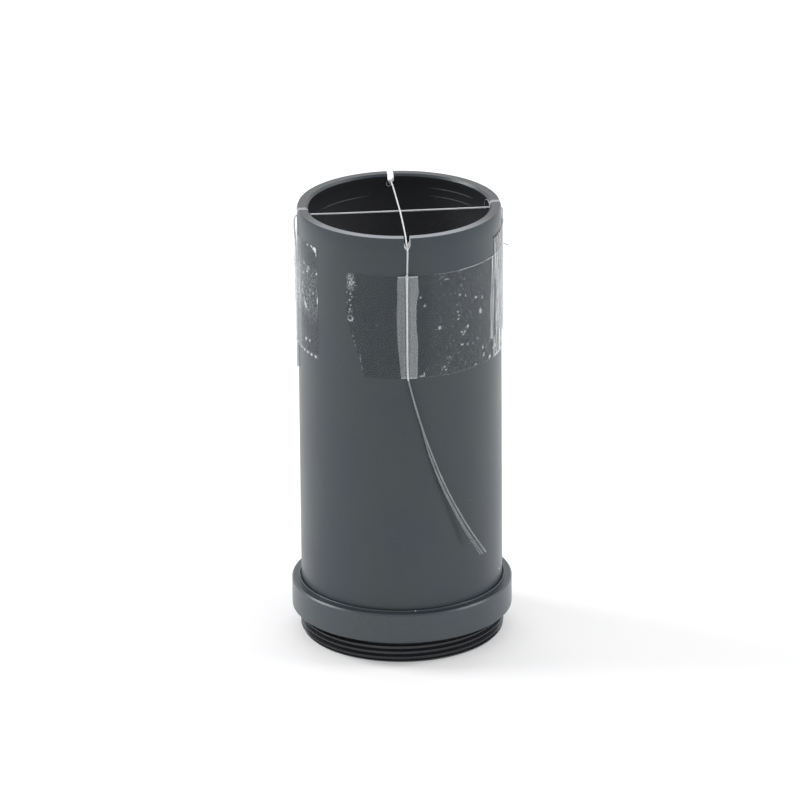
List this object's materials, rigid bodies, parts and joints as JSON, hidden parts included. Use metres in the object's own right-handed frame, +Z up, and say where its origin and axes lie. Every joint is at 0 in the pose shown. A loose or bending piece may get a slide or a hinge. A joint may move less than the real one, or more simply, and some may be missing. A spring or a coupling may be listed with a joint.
{
  "type": "collimation tube",
  "caption": "Dark anodised sight tube on a screwed ring, with two clear lines crossing over its open top in rim notches and held on the wall by clear tape.",
  "frame": {"origin": "On the tube's axis, in the plane of the ring's bottom face.", "axes": "+Z up along the tube, from the ring to the open rim with the crossed lines; -Y is the front, which carries the long tape and the free line ends; +X is to the right seen from the front."},
  "size_m": [0.0394, 0.0394, 0.08],
  "materials": {
    "anodised_tube": "dark anodised, satin",
    "anodised_ring": "dark anodised, turned",
    "clear_line": "clear, gloss",
    "clear_tape": "clear film, gloss"
  },
  "bodies": {
    "root": {"tube": "anodised_tube", "threaded_ring": "anodised_ring", "line_left_right": "clear_line", "line_front_back": "clear_line", "line_hairpin": "clear_line", "tail_first": "clear_line", "tail_second": "clear_line", "tail_third": "clear_line", "tape_front": "clear_tape", "tape_left": "clear_tape", "tape_right": "clear_tape", "tape_back": "clear_tape"}
  },
  "joints": []
}
